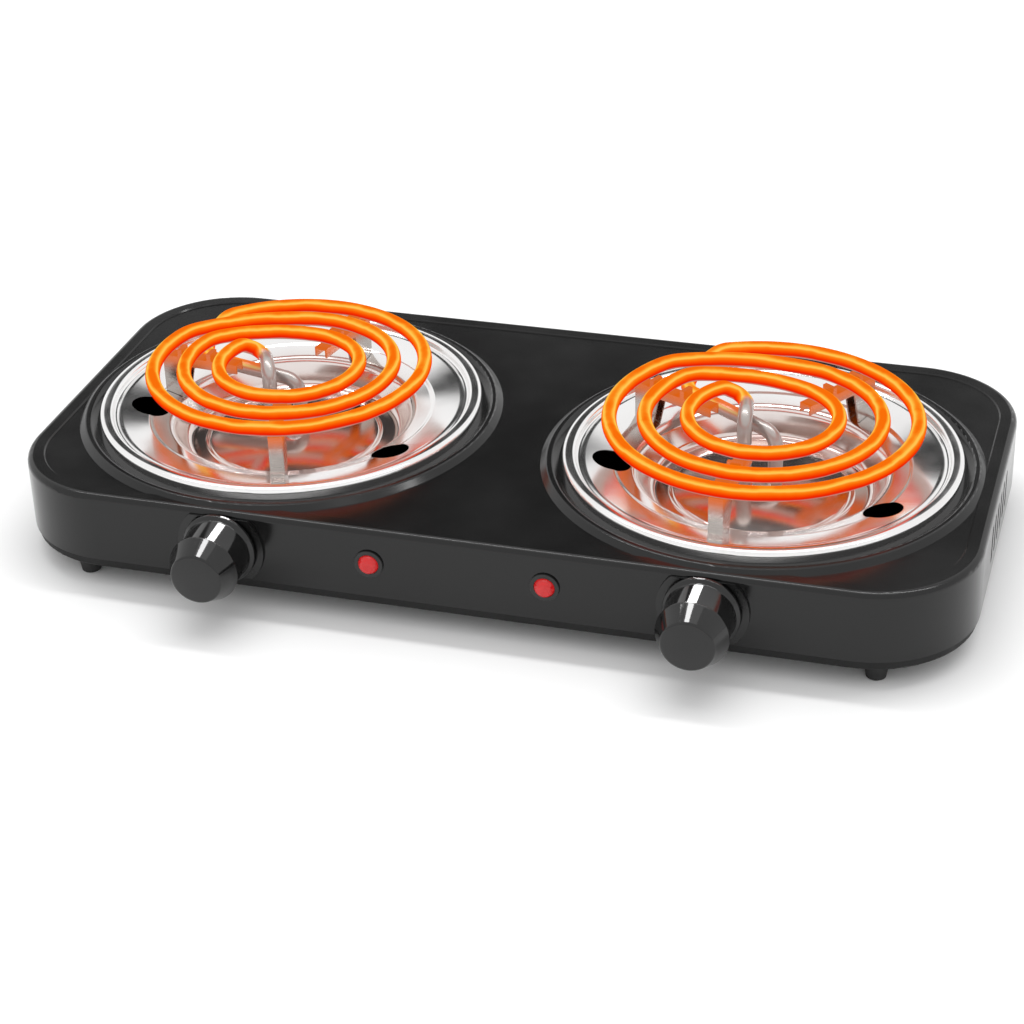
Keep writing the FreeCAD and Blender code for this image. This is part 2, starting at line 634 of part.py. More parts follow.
def make_coil(side, sign):
    """A round tube wound outwards in three rings. Each end sinks along its ring, then turns in and goes
    down beside the middle, so that the rings look closed from above."""
    outer, middle, inner = [size.value for size in ring_radii(side)]
    level, end, bend = S.coil_height.value, S.tube_end.value, S.leg_bend.value

    first, low = S.inner_ring_start.value, level - S.inner_tail_drop.value
    leg = (S.inner_leg_radius.value, S.inner_leg_angle.value)
    start = polar(inner, first, level)
    route = [polar(*leg, end), polar(*leg, low), polar(inner, S.inner_dive_angle.value, low),
             start + polar(S.inner_tail_lead.value, first - 90), start]
    edges = rounded_route(route, [bend, S.inner_dive_bend.value, S.inner_tail_bend.value])

    centre = FreeCAD.Vector(0, 0, level)
    step_end = S.step_end.value
    inner_step, outer_step = S.inner_step_start.value + 360, S.outer_step_start.value + 360
    last = S.outer_ring_end.value
    edges.append(arc_edge(centre, inner, first, inner_step))
    edges += step_out(level, inner, middle, inner_step, step_end + 360)
    edges.append(arc_edge(centre, middle, step_end, outer_step))
    edges += step_out(level, middle, outer, outer_step, step_end + 360)
    edges.append(arc_edge(centre, outer, step_end, last + 360))

    start = polar(outer, last, level)
    leg = (S.outer_leg_radius.value, S.outer_leg_angle.value)
    route = [start, start + polar(S.outer_tail_lead.value, last + 90),
             polar(outer, S.outer_dive_angle.value, level - S.outer_dive_drop.value),
             polar(outer - S.outer_turn_inset.value, S.outer_turn_angle.value, level - S.outer_turn_drop.value),
             polar(*leg, level - S.outer_tail_drop.value), polar(*leg, end)]
    edges += rounded_route(route, [S.outer_tail_bend.value, S.outer_tail_bend.value, bend, bend])

    solid = tube(edges, S.tube_radius.value, side + " coil")
    place = spot(sign * S.burner_spacing / 2, BURNER_Y, 0, coil_turn(side).value)
    shape_node(side + "_heating_coil", solid, place)


def make_support(side, sign, name, angle):
    """An upturned channel that carries the rings and stands on the pan's flank."""
    radii = ring_radii(side)
    turn = coil_turn(side)
    body = new_body("%s_coil_support_%s" % (side, name), sign * S.burner_spacing / 2, BURNER_Y,
                    0, spin=angle + turn)
    top = COIL_BOTTOM - S.arm_coil_gap
    tip = radii[0] + S.arm_outer_gap
    heel = tip - S.arm_leg_length
    near = radii[2] - S.arm_inner_gap
    slope = S.flank_drop / (FLANK_OUTER - S.flank_inner)

    def seat(radius):
        return FLANK_BOTTOM + slope * (radius - S.flank_inner) + S.arm_seat_gap

    corners = [(near, top), (near, top - S.arm_depth), (heel - 4, top - S.arm_depth), (heel, seat(heel)),
               (tip, seat(tip)), (tip, top)]
    for ring in (0, 1):
        middle = (radii[ring] + radii[ring + 1]) / 2
        corners += [(middle + S.tab_length / 2, top), (middle + S.tab_length / 2, top + S.tab_height),
                    (middle - S.tab_length / 2, top + S.tab_height), (middle - S.tab_length / 2, top)]
    profile = new_sketch(body, "XZ")
    draw_outline(profile, corners)
    pad(body, profile, S.arm_width, midplane=True)
    hollow = new_sketch(body, "XZ")
    draw_outline(hollow, [(near - 1, top - S.arm_steel), (near - 1, FLOOR), (tip - S.arm_steel, FLOOR),
                          (tip - S.arm_steel, top - S.arm_steel)])
    pocket(body, hollow, S.arm_width - 2 * S.arm_steel, midplane=True)


def make_element_ends():
    """Bushings that clamp the tube ends under the pan floor, ceramic beads and terminal pins."""
    under = FLOOR + S.floor_step - S.pan_steel
    low = under - S.bushing_height
    inner = S.tube_radius + S.bushing_gap
    nut = turned("bushing_pattern", [(inner, low), (S.bushing_radius, low, as_size(0.6)),
                                     (S.bushing_radius, under), (inner, under)], node=False)
    cap = S.tube_end
    bead = turned("bead_pattern", [(0, cap), (0, cap - S.bead_length),
                                   (S.bead_radius, cap - S.bead_length, as_size(0.8)), (S.bead_radius, cap)],
                  node=False)
    root = cap - S.bead_length
    pin = turned("pin_pattern", [(0, root), (0, root - S.pin_length), (S.pin_radius, root - S.pin_length),
                                 (S.pin_radius, root)], node=False)
    ends = [end for side, sign in SIDES for end in element_ends(side, sign)]
    for name, pattern in (("element_bushings", nut), ("terminal_beads", bead), ("terminal_pins", pin)):
        group(name, [(local_shape(pattern), spot(x, y, 0)) for x, y in ends])


def make_clamp_bar(side, sign):
    """A hat-shaped strap: its ends press up under the housing and its middle pulls the pan down."""
    body = new_body(side + "_clamp_bar", sign * S.burner_spacing / 2, BURNER_Y, 0,
                    spin=coil_turn(side) + S.bar_angle)
    high = CEILING
    low = FLOOR - S.pan_steel - 0.1
    thick = S.bar_steel
    knee = S.bar_end - S.bar_flange
    corners = [(S.bar_end, high), (knee, high), (S.bar_flat, low)]
    corners += [(-x, z) for x, z in reversed(corners)]
    lower = [(-S.bar_end, high - thick), (-knee - thick / 2, high - thick),
             (-S.bar_flat - thick / 2, low - thick)]
    corners += lower + [(-x, z) for x, z in reversed(lower)]
    profile = new_sketch(body, "XZ")
    draw_outline(profile, corners)
    pad(body, profile, S.bar_width, midplane=True)
    hole = new_sketch(body, "XY", (0, 0, low))
    draw_circle(hole, 0, 0, S.pan_screw_radius + S.screw_gap)
    pocket(body, hole, S.bar_steel * 2)


def make_pan_fixings():
    seat = FLOOR + S.floor_step
    bar = FLOOR - S.pan_steel - 0.1 - S.bar_steel
    tip = bar - S.nut_height - 1.5
    screw = turned("pan_screw_pattern", [(0, seat + S.pan_screw_head_height),
                                         (0, tip), (S.pan_screw_radius, tip), (S.pan_screw_radius, seat),
                                         (S.pan_screw_head, seat),
                                         (S.pan_screw_head, seat + S.pan_screw_head_height, as_size(1.2))],
                   node=False)
    drive = new_sketch(screw, "XY", (0, 0, seat + S.pan_screw_head_height))
    draw_box(drive, as_size(0), as_size(0), S.pan_screw_head * 1.2, as_size(0.9))
    pocket(screw, drive, S.pan_screw_head_height / 2)
    nut = new_body("nut_pattern", node=False)
    outline = new_sketch(nut, "XY", (0, 0, bar))
    flats = S.pan_screw_head
    draw_outline(outline, [(flats * cosine(as_size(60 * k)), flats * sine(as_size(60 * k))) for k in range(6)])
    pad(nut, outline, S.nut_height, back=True)
    bore = new_sketch(nut, "XY", (0, 0, bar))
    draw_circle(bore, 0, 0, S.pan_screw_radius + 0.02)
    pocket(nut, bore, S.nut_height + 1)
    for name, pattern in (("pan_screws", screw), ("pan_nuts", nut)):
        group(name, [(local_shape(pattern), spot(sign * S.burner_spacing / 2, BURNER_Y, 0))
                     for _, sign in SIDES])


# ---------------------------------------------------------------- controls
def make_knob(side, sign):
    """A turned knob, from its flange at the bezel to its domed face, with a D bore for the shaft."""
    start = -(S.bezel_thickness + S.knob_gap)
    flange = start - S.knob_flange
    neck = flange - S.knob_body_length
    lip = neck - S.knob_lip
    face = lip - S.knob_nose_length
    cavity = start - S.knob_cavity_depth
    body = new_body(side + "_knob", sign * S.knob_spacing / 2, FRONT, S.knob_height)
    profile = new_sketch(body, "XY")
    draw_outline(profile, [(S.knob_cavity_radius, start), (S.knob_flange_radius, start, as_size(0.5)),
                           (S.knob_flange_radius, flange, as_size(0.5)), (S.knob_waist_radius, flange - 1.2),
                           (S.knob_neck_radius, neck), (S.knob_lip_radius, neck - 0.6, as_size(0.4)),
                           (S.knob_lip_radius, lip, as_size(0.4)), (S.knob_face_radius, face, as_size(1.0)),
                           (0, face - S.knob_dome), (0, cavity), (S.knob_cavity_radius, cavity)])
    revolve(body, profile)
    bore = new_sketch(body, "XZ", (0, 0, -cavity))
    draw_d_section(bore, S.shaft_radius + S.shaft_fit, S.shaft_flat + S.shaft_fit)
    pocket(body, bore, S.shaft_in_knob + 0.3, forward=True)


def draw_d_section(sketch, radius, flat):
    """A circle cut by a flat across its top."""
    across = (radius.value ** 2 - flat.value ** 2) ** 0.5
    angle = math.atan2(flat.value, across)
    circle = Part.Circle(FreeCAD.Vector(0, 0, 0), FreeCAD.Vector(0, 0, 1), radius.value)
    arc = sketch.addGeometry(Part.ArcOfCircle(circle, math.pi - angle, 2 * math.pi + angle), False)
    ends = FreeCAD.Vector(across, flat.value, 0), FreeCAD.Vector(-across, flat.value, 0)
    line = sketch.addGeometry(Part.LineSegment(*ends), False)
    sketch.addConstraint(Sketcher.Constraint("Coincident", arc, 2, line, 1))
    sketch.addConstraint(Sketcher.Constraint("Coincident", line, 2, arc, 1))
    sketch.addConstraint(Sketcher.Constraint("Coincident", arc, 3, -1, 1))
    sketch.addConstraint(Sketcher.Constraint("Horizontal", line))
    number = sketch.addConstraint(Sketcher.Constraint("Radius", arc, radius.value))
    bind(sketch, "Constraints[%d]" % number, radius)
    number = sketch.addConstraint(Sketcher.Constraint("DistanceY", -1, 1, line, 1, flat.value))
    bind(sketch, "Constraints[%d]" % number, flat)


def make_bezel(side, sign):
    """A black disc behind the knob, trimmed level with the front's flat."""
    body = new_body(side + "_knob_bezel", sign * S.knob_spacing / 2, FRONT, S.knob_height)
    disc = new_sketch(body, "XZ")
    draw_circle(disc, 0, 0, S.bezel_radius)
    pad(body, disc, S.bezel_thickness)
    bore = new_sketch(body, "XZ", (0, 0, S.bezel_thickness))
    draw_circle(bore, 0, 0, S.bushing_hole_radius)
    pocket(body, bore, S.bezel_thickness + 1)
    trims = new_sketch(body, "XZ", (0, 0, S.bezel_thickness))
    high = S.bezel_trim
    for sense in (1, -1):
        draw_box(trims, as_size(0), sense * (high + S.bezel_radius / 2), 3 * S.bezel_radius, S.bezel_radius)
    pocket(body, trims, S.bezel_thickness + 1)


def make_thermostat(side, sign):
    x = sign * S.knob_spacing / 2
    inside = S.steel + S.bracket_steel
    bracket = new_body(side + "_thermostat_bracket", x, FRONT, S.knob_height)
    plan = new_sketch(bracket, "YZ")
    half = S.bracket_height / 2
    gauge = S.bracket_steel
    draw_outline(plan, [(S.steel, -half), (S.bracket_depth, -half), (S.bracket_depth, -half + gauge),
                        (inside, -half + gauge), (inside, half), (S.steel, half)])
    pad(bracket, plan, S.bracket_width, midplane=True)
    hole = new_sketch(bracket, "XZ", (0, 0, -S.steel))
    draw_circle(hole, 0, 0, S.sleeve_radius + 0.1)
    pocket(bracket, hole, S.bracket_steel + 1)

    back = inside + S.sleeve_flange
    sleeve = new_body(side + "_shaft_sleeve", x, FRONT, S.knob_height)
    profile = new_sketch(sleeve, "XY")
    bore = S.shaft_radius + S.shaft_fit
    draw_outline(profile, [(bore, -S.sleeve_front), (S.sleeve_radius, -S.sleeve_front, as_size(0.4)),
                           (S.sleeve_radius, inside), (S.sleeve_flange_radius, inside),
                           (S.sleeve_flange_radius, back), (S.sleeve_radius, back),
                           (S.sleeve_radius, S.sleeve_back), (bore, S.sleeve_back)])
    revolve(sleeve, profile)

    front = S.bezel_thickness + S.knob_gap + S.knob_cavity_depth + S.shaft_in_knob
    stack_face = S.sleeve_back + S.stack_gap
    shaft = new_body(side + "_control_shaft", x, FRONT, S.knob_height)
    section = new_sketch(shaft, "XZ", (0, 0, front))
    draw_d_section(section, S.shaft_radius, S.shaft_flat)
    pad(shaft, section, S.shaft_in_knob, back=True)
    rod = new_sketch(shaft, "XZ", (0, 0, front - S.shaft_in_knob))
    draw_circle(rod, 0, 0, S.shaft_radius)
    pad(shaft, rod, front - S.shaft_in_knob + stack_face + S.shaft_socket, back=True)

    stack = new_body(side + "_thermostat_block", x, FRONT, S.knob_height)
    block = new_sketch(stack, "XZ", (0, 0, -stack_face))
    seat = -S.bracket_height / 2 + S.bracket_steel
    draw_box(block, as_size(0), seat + S.stack_height / 2, S.stack_width, S.stack_height, as_size(1.0))
    pad(stack, block, S.stack_depth, back=True)
    socket = new_sketch(stack, "XZ", (0, 0, -stack_face))
    draw_circle(socket, 0, 0, S.shaft_radius + S.shaft_fit)
    pocket(stack, socket, S.shaft_socket + 0.4)

    strip = new_body(side + "_bimetal_strip", x, FRONT, S.knob_height)
    side_view = new_sketch(strip, "YZ")
    root = stack_face + S.stack_depth
    level = seat + S.stack_height / 2
    draw_outline(side_view, [(root, level), (root + S.strip_length, level + S.strip_lift),
                             (root + S.strip_length, level + S.strip_lift + S.strip_steel),
                             (root, level + S.strip_steel)])
    pad(strip, side_view, S.strip_width, midplane=True)


def make_sleeve_nuts():
    nut = new_body("sleeve_nut_pattern", node=False)
    outline = new_sketch(nut, "XZ", (0, 0, S.bezel_thickness))
    corner = S.sleeve_nut_width / 2 / cosine(as_size(30))
    draw_outline(outline, [(corner * cosine(as_size(60 * k)), corner * sine(as_size(60 * k)))
                           for k in range(6)])
    pad(nut, outline, S.sleeve_nut_height)
    bore = new_sketch(nut, "XZ", (0, 0, S.bezel_thickness + S.sleeve_nut_height))
    draw_circle(bore, 0, 0, S.sleeve_radius + 0.02)
    pocket(nut, bore, S.sleeve_nut_height + 1)
    group("sleeve_nuts", [(local_shape(nut), spot(sign * S.knob_spacing / 2, FRONT, S.knob_height))
                          for _, sign in SIDES])


def make_lamp(side, sign):
    x = sign * S.lamp_spacing / 2
    turned(side + "_lamp_holder",
           [(S.holder_bore, -S.holder_flange), (S.holder_flange_radius, -S.holder_flange, as_size(0.4)),
            (S.holder_flange_radius, 0), (S.holder_radius, 0), (S.holder_radius, S.holder_length),
            (S.bulb_radius + 0.3, S.holder_length), (S.bulb_radius + 0.3, S.holder_length - 1.2),
            (S.holder_bore, S.holder_length - 1.2)], x, FRONT, S.lamp_height, plane="XY")
    tail = S.lens_length - S.holder_flange
    face = -S.holder_flange - S.lens_dome
    inner = S.lens_radius - S.lens_wall
    turned(side + "_lamp_lens",
           [(0, face), (S.lens_radius * 0.62, face + 0.35, as_size(2.2)),
            (S.lens_radius, -S.holder_flange + 0.2, as_size(1.6)),
            (S.lens_radius, tail), (inner, tail), (inner, 0), (0, 0)],
           x, FRONT, S.lamp_height, plane="XY")


def make_lamp_fixings():
    clip = turned("clip_pattern", [(S.holder_radius + 0.02, S.steel), (S.clip_radius, S.steel),
                                   (S.clip_radius, S.steel + S.clip_steel),
                                   (S.holder_radius + 0.02, S.steel + S.clip_steel)], plane="XY", node=False)
    start = S.holder_length - 1.2 - 8.0
    bulb = turned("bulb_pattern", [(0, start), (S.bulb_radius, start, as_size(1.2)),
                                   (S.bulb_radius, start + S.bulb_length), (0, start + S.bulb_length)],
                  plane="XY", node=False)
    for name, pattern in (("lamp_clips", clip), ("neon_bulbs", bulb)):
        group(name, [(local_shape(pattern), spot(sign * S.lamp_spacing / 2, FRONT, S.lamp_height))
                     for _, sign in SIDES])


# ---------------------------------------------------------------- supply and leads
def make_grommet():
    neck = S.inlet_radius - 0.05
    turned("cord_grommet", [(S.inlet_bore, -S.steel - 2.5), (S.inlet_flange_radius - 1, -S.steel - 2.5),
                            (S.inlet_flange_radius - 1, -S.steel - 0.05), (neck, -S.steel - 0.05),
                            (neck, 0.05), (S.inlet_flange_radius, 0.05),
                            (S.inlet_flange_radius, S.inlet_flange, as_size(1.2)),
                            (S.inlet_bore, S.inlet_flange)], 0, BACK, S.inlet_height, plane="XY")


def make_terminal_block():
    y = INSIDE_BACK - S.block_back
    block = new_body("terminal_block", 0, y, BASE_TOP)
    plan = new_sketch(block, "XY")
    draw_box(plan, as_size(0), as_size(0), S.block_length, S.block_depth, as_size(1.5))
    pad(block, plan, S.block_height)
    wells = new_sketch(block, "XY", (0, 0, S.block_height))
    for k in (-1, 0, 1):
        draw_circle(wells, k * S.block_screw_pitch, 0, as_size(3.0))
    pocket(block, wells, as_size(4.0))
    screw = turned("terminal_screw_pattern",
                   [(0, 0.02), (2.6, 0.02), (2.6, 2.4), (0, 2.4)], node=False)
    group("terminal_screws", [(local_shape(screw),
                               spot(k * S.block_screw_pitch, y, BASE_TOP + S.block_height - 4))
                              for k in (-1, 0, 1)])
    low = S.foot_reach - 1.8
    turned("earth_screw", [(0, low), (S.screw_head_radius, low, as_size(0.5)),
                           (S.screw_head_radius, S.foot_reach), (S.screw_radius, S.foot_reach),
                           (S.screw_radius, BASE_TOP + 0.02), (3.5, BASE_TOP + 0.02), (3.5, BASE_TOP + 3),
                           (S.screw_radius, BASE_TOP + 3), (S.screw_radius, BASE_TOP + 8), (0, BASE_TOP + 8)],
           S.earth_screw_x, BACK - S.earth_screw_back)


def lead_tube(name, points):
    """An insulated lead along its real route, each bend as wide as its two runs allow."""
    vectors = [FreeCAD.Vector(*[as_size(v).value for v in point]) for point in points]
    radii = []
    for i in range(1, len(vectors) - 1):
        before = vectors[i - 1] - vectors[i]
        after = vectors[i + 1] - vectors[i]
        turn = math.pi - before.getAngle(after)
        radii.append(S.arc_share.value * min(before.Length, after.Length) / math.tan(turn / 2))
    print("%s: bend radii %s mm" % (name, ", ".join("%.0f" % r for r in radii)))
    return tube(rounded_route(vectors, radii), S.lead_radius.value, name)


def lead_node(name, points):
    shape_node(name, lead_tube(name, points), spot())


def make_leads():
    run = S.lead_height
    block_front = INSIDE_BACK - S.block_back - S.block_depth / 2
    stack_back = FRONT + S.sleeve_back + S.stack_gap + S.stack_depth
    stack_low = S.knob_height - S.bracket_height / 2 + S.bracket_steel + 3
    pin_side = S.pin_radius + S.lead_radius + 0.15
    for side, sign in SIDES:
        middle = sign * S.burner_spacing / 2
        knob_x = sign * S.knob_spacing / 2
        outer, inner = element_ends(side, sign)
        live_x = -S.block_screw_pitch + sign * S.lead_pitch / 2
        neutral_x = sign * S.lead_pitch / 2
        lead_node(side + "_live_lead", [
            (live_x, block_front, run + 2), (live_x, block_front - 22, run + 2),
            (sign * 26, 25, run), (sign * 34, -20, run), (sign * 52, -58, run),
            (knob_x - sign * 22, stack_back + 16, run + 1), (knob_x - sign * 6, stack_back + 9, stack_low),
            (knob_x - sign * 6, stack_back, stack_low)])
        lead_node(side + "_switched_lead", [
            (knob_x + sign * 6, stack_back, stack_low), (knob_x + sign * 6, stack_back + 8, stack_low),
            (middle + sign * 9, stack_back + 24, run + 1), (middle + sign * 4, BURNER_Y - 26, run),
            (outer[0] + pin_side, outer[1] - 16, run + 1), (outer[0] + pin_side, outer[1], run + 3)])
        lead_node(side + "_neutral_lead", [
            (inner[0] + pin_side, inner[1], run + 3), (inner[0] + pin_side, inner[1] + 12, run + 1),
            (middle - sign * 30, 62, run), (sign * 46, 70, run + 1), (sign * 20, block_front - 14, run + 6),
            (neutral_x, block_front - 8, run + 7), (neutral_x, block_front, run + 7)])
        lamp_x = sign * S.lamp_spacing / 2
        lamp_back = FRONT + S.holder_length + 2.2
        stack_side = knob_x - sign * S.stack_width / 2
        pair = []
        for lift in (-S.lamp_lead_pitch / 2, S.lamp_lead_pitch / 2):
            lamp_z, low_z, stack_z = S.lamp_height + lift, run + 8 + lift, stack_low + 8 + lift
            pair.append(lead_tube(side + "_lamp_leads", [
                (lamp_x, lamp_back, lamp_z), (lamp_x, lamp_back + 9, lamp_z - 3),
                (lamp_x + sign * 10, lamp_back + 16, low_z), (stack_side - sign * 24, lamp_back + 14, low_z),
                (stack_side - sign * 10, stack_back - 5, stack_z),
                (stack_side - sign * 0.1, stack_back - 5, stack_z)]))
        shape_node(side + "_lamp_leads", Part.makeCompound(pair), spot())
    block_side = S.block_length / 2
    block_y = INSIDE_BACK - S.block_back
    earth_y = BACK - S.earth_screw_back
    lead_node("earth_lead", [
        (block_side, block_y, run + 6), (block_side + 6, block_y, run + 6),
        (S.earth_screw_x - 9, earth_y, run + 1), (S.earth_screw_x - 3.6, earth_y, run + 1)])


# ---------------------------------------------------------------- build, check and write
def check_document():
    for item in doc.Objects:
        if any(word in item.State for word in ("Invalid", "Error")):
            raise RuntimeError("%s did not build" % item.Label)
    for item in NODES:
        if item.Shape.isNull() or not item.Shape.isValid() or not item.Shape.Solids:
            raise RuntimeError("%s has no valid solid" % item.Label)


def main():
    make_housing()
    make_base_plate()
    make_feet_and_posts()
    for side, sign in SIDES:
        make_pan(side, sign)
        make_coil(side, sign)
        for name, angle in (("front", S.front_arm), ("right", S.right_arm), ("left", S.left_arm)):
            make_support(side, sign, name, angle)
        make_clamp_bar(side, sign)
        make_knob(side, sign)
        make_bezel(side, sign)
        make_thermostat(side, sign)
        make_lamp(side, sign)
    make_element_ends()
    make_pan_fixings()
    make_sleeve_nuts()
    make_lamp_fixings()
    make_grommet()
    make_terminal_block()
    make_leads()
    doc.recompute()
    check_document()
    os.makedirs("parts", exist_ok=True)
    for item in NODES:
        item.Shape.exportStep("parts/%s.step" % item.Label)
    box = Part.makeCompound([item.Shape for item in NODES]).BoundBox
    print("%d nodes, box X %.2f %.2f  Y %.2f %.2f  Z %.2f %.2f"
          % (len(NODES), box.XMin, box.XMax, box.YMin, box.YMax, box.ZMin, box.ZMax))


main()
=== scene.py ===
"""Twin coil hot plate, dressed for its picture: materials, finer meshes, a pale floor, studio light and a camera.

Everything is in metres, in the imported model's own frame: +X right, +Y back, +Z up.
"""
import json
import math

import bmesh
import bpy
from mathutils import Matrix, Vector


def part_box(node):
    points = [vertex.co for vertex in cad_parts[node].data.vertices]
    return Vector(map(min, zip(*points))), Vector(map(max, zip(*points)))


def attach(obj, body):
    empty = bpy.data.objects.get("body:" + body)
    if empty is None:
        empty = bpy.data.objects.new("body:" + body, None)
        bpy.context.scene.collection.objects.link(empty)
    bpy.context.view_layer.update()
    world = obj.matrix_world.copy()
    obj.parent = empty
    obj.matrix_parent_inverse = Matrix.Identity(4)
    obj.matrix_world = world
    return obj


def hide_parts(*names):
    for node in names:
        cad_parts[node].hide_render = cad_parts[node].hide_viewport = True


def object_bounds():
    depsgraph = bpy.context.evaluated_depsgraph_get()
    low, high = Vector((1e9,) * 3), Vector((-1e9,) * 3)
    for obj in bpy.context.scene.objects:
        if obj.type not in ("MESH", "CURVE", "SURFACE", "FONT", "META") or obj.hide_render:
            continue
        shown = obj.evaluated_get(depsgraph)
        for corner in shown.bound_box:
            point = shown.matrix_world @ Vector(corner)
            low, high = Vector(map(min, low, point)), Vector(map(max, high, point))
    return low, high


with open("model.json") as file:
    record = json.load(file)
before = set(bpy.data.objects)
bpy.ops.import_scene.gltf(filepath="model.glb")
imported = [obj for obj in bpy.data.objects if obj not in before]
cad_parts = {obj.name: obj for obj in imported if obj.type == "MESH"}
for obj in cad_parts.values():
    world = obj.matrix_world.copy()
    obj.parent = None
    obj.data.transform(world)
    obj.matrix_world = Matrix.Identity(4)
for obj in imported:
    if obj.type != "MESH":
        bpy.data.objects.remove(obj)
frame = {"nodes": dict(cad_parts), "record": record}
CAD_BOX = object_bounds()
NODES = frame["nodes"]
SIDES = ("left", "right")
BODY = "cooker_body"
MM = 0.001
WHOLE_TURN = 2 * math.pi


def middle(node):
    low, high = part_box(node)
    return (low + high) / 2


HOUSING = middle("top_housing")
CENTRE = Vector((HOUSING.x, HOUSING.y, 0.0))


# ---------------------------------------------------------------- material helpers
def new_material(name, **sockets):
    """A material with one principled shader whose sockets are set by name, with _ for a space."""
    material = bpy.data.materials.new(name)
    material.use_nodes = True
    tree = material.node_tree
    shader = tree.nodes["Principled BSDF"]
    for socket, value in sockets.items():
        shader.inputs[socket.replace("_", " ")].default_value = value
    return material, tree, shader


def add(tree, kind, inputs=None, **settings):
    """A node with its settings and input values; an input given as a socket is linked."""
    node = tree.nodes.new("ShaderNode" + kind)
    for setting, value in settings.items():
        setattr(node, setting, value)
    for socket, value in (inputs or {}).items():
        if isinstance(value, bpy.types.NodeSocket):
            tree.links.new(value, node.inputs[socket])
        else:
            node.inputs[socket].default_value = value
    return node


def place_coords(tree):
    """The point in the model's own frame, as every mesh has its object at the origin."""
    return add(tree, "TexCoord").outputs["Object"]


def height_of(tree):
    return add(tree, "SeparateXYZ", {0: place_coords(tree)}).outputs["Z"]


def noise(tree, scale, detail=2.0, vector=None):
    inputs = {"Vector": vector or place_coords(tree), "Scale": scale, "Detail": detail, "Roughness": 0.5}
    return add(tree, "TexNoise", inputs).outputs["Fac"]


def ramp(tree, factor, stops):
    """A colour ramp; each stop is (place, colour) with a grey number or three numbers."""
    node = add(tree, "ValToRGB", {"Fac": factor})
    elements = node.color_ramp.elements
    while len(elements) < len(stops):
        elements.new(0.5)
    for element, (spot, colour) in zip(elements, stops):
        element.position = spot
        element.color = (colour, colour, colour, 1.0) if isinstance(colour, float) else (*colour, 1.0)
    return node.outputs["Color"]


def between(tree, value, low, high, out_low=0.0, out_high=1.0):
    """value carried smoothly from the range low-high to out_low-out_high."""
    inputs = {"Value": value, "From Min": low, "From Max": high, "To Min": out_low, "To Max": out_high}
    return add(tree, "MapRange", inputs, interpolation_type="SMOOTHSTEP").outputs["Result"]


def maths(tree, operation, first, second):
    return add(tree, "Math", {0: first, 1: second}, operation=operation).outputs["Value"]


# The part of a noise's range that carries a colour or a roughness from its low to its high value.
NOISE_LOW, NOISE_HIGH = 0.3, 0.7


def spread(tree, factor, low, high):
    """Colour or grey that goes from low to high over a noise's usual range."""
    return ramp(tree, factor, [(NOISE_LOW, low), (NOISE_HIGH, high)])


def vary(tree, shader, socket, factor, low, high):
    """Let a grey factor carry one of the shader's sockets from low to high."""
    tree.links.new(spread(tree, factor, low, high), shader.inputs[socket])


def add_bump(tree, shader, height, distance, strength=1.0):
    bump = add(tree, "Bump", {"Height": height, "Distance": distance, "Strength": strength})
    tree.links.new(bump.outputs["Normal"], shader.inputs["Normal"])


def radius_about(tree, centre):
    """Distance from a vertical line through centre."""
    offset = add(tree, "VectorMath", {0: place_coords(tree), 1: (-centre.x, -centre.y, 0.0)}, operation="ADD")
    flat = add(tree, "VectorMath", {0: offset.outputs["Vector"], 1: (1.0, 1.0, 0.0)}, operation="MULTIPLY")
    return add(tree, "VectorMath", {0: flat.outputs["Vector"]}, operation="LENGTH").outputs["Value"]


def glow_over(tree, shader, colour, share):
    """Let light of the colour take the given share of the surface, and the shader the rest."""
    emission = add(tree, "Emission", {"Color": colour, "Strength": 1.0})
    mix = add(tree, "MixShader", {"Fac": share, 1: shader.outputs["BSDF"], 2: emission.outputs["Emission"]})
    tree.links.new(mix.outputs["Shader"], tree.nodes["Material Output"].inputs["Surface"])


def paint(thing, *materials):
    """Give an object's mesh its materials."""
    thing.data.materials.clear()
    for material in materials:
        thing.data.materials.append(material)


# ---------------------------------------------------------------- mesh helpers
ROUNDING_STEPS = 8
LONGEST_ROUNDING = 0.45  # of either side that meets at the corner
SHARP_EDGE = math.radians(38.0)
SAME_POINT, NO_LENGTH = 0.000001, 0.0000001
HOLE_SEGMENTS = 64


def rounded(corners):
    """A closed outline from (radius, height) corners; a third number rounds a corner off by that much."""
    outline = []
    for i, corner in enumerate(corners):
        here = Vector(corner[:2])
        if len(corner) == 2:
            outline.append(here)
            continue
        before = Vector(corners[i - 1][:2]) - here
        after = Vector(corners[(i + 1) % len(corners)][:2]) - here
        reach = min(corner[2], LONGEST_ROUNDING * before.length, LONGEST_ROUNDING * after.length)
        first, last = here + before.normalized() * reach, here + after.normalized() * reach
        for step in range(ROUNDING_STEPS + 1):
            along = step / ROUNDING_STEPS
            outline.append(first * (1 - along) ** 2 + here * 2 * along * (1 - along) + last * along ** 2)
    return outline


def smooth(mesh):
    for face in mesh.polygons:
        face.use_smooth = True
    mesh.set_sharp_from_angle(angle=SHARP_EDGE)


def place(name, data):
    """A new object in the scene."""
    thing = bpy.data.objects.new(name, data)
    bpy.context.scene.collection.objects.link(thing)
    return thing


